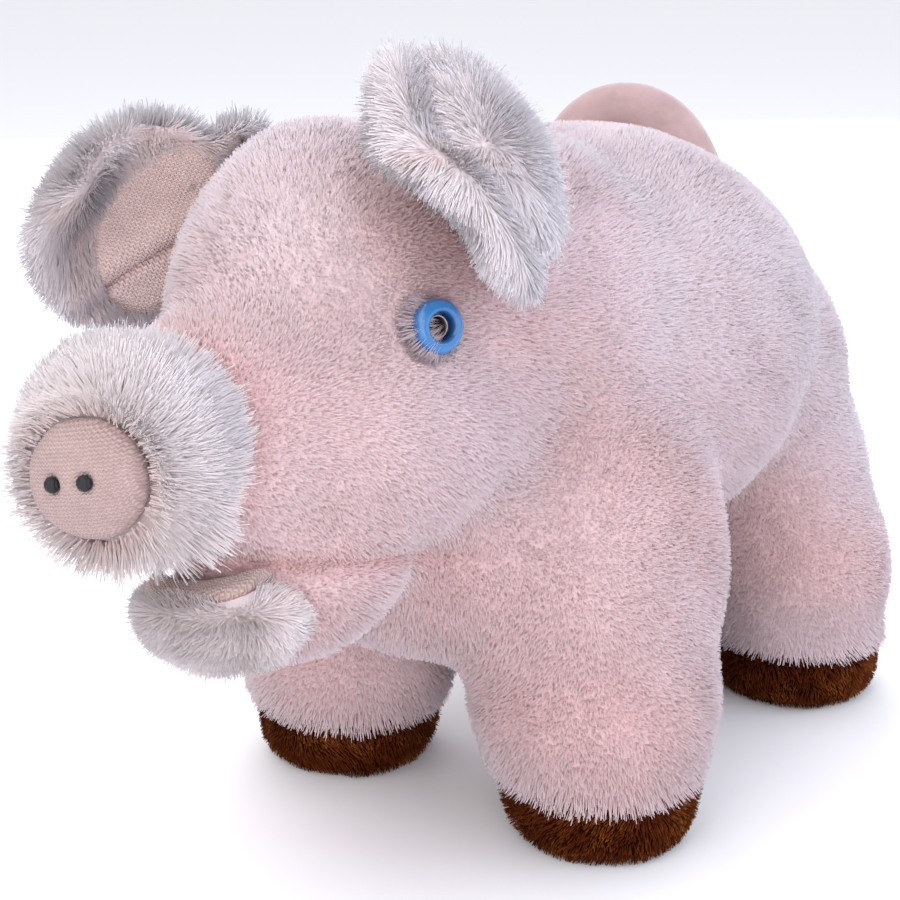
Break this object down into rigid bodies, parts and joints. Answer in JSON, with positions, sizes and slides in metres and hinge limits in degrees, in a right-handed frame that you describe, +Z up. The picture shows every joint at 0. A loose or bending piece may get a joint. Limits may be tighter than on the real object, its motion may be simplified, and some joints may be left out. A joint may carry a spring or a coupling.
{
  "type": "plush toy pig",
  "caption": "Stuffed pink plush pig standing on four brown feet, with a fluffy snout, cupped ears, blue eyes, open mouth and curled tail",
  "frame": {"origin": "On the floor under the middle of the toy: the bottom centre of its overall box.", "axes": "+Z is up, -Y is the way the nose points, +X is the pig's left side."},
  "size_m": [0.1374, 0.2864, 0.1943],
  "materials": {
    "pink_plush": "short dense upright pile, salmon pink at the roots and whitish pink at the tips",
    "white_plush": "longer, looser whitish pile with a pink ground",
    "brown_plush": "short chestnut-brown pile with golden tips",
    "peach_knit": "fine ribbed knit",
    "peach_velour": "smooth short-napped velour",
    "black_thread": "satin-stitched thread",
    "blue_plastic": "clear gloss over blue",
    "black_plastic": "high gloss"
  },
  "bodies": {
    "root": {"trunk": "pink_plush", "head": "pink_plush", "throat": "pink_plush", "leg_front_left": "pink_plush", "leg_front_right": "pink_plush", "leg_hind_left": "pink_plush", "leg_hind_right": "pink_plush", "hoof_front_left": "brown_plush", "hoof_front_right": "brown_plush", "hoof_hind_left": "brown_plush", "hoof_hind_right": "brown_plush", "muzzle": "white_plush", "jaw": "white_plush", "ear_left": "white_plush", "ear_right": "white_plush", "ear_lining_left": "peach_knit", "ear_lining_right": "peach_knit", "mouth_lining": "peach_knit", "nose_pad": "peach_knit", "tail": "peach_velour", "nostril_left": "black_thread", "nostril_right": "black_thread", "eye_left": "blue_plastic", "eye_right": "blue_plastic", "pupil_left": "black_plastic", "pupil_right": "black_plastic"}
  },
  "joints": []
}
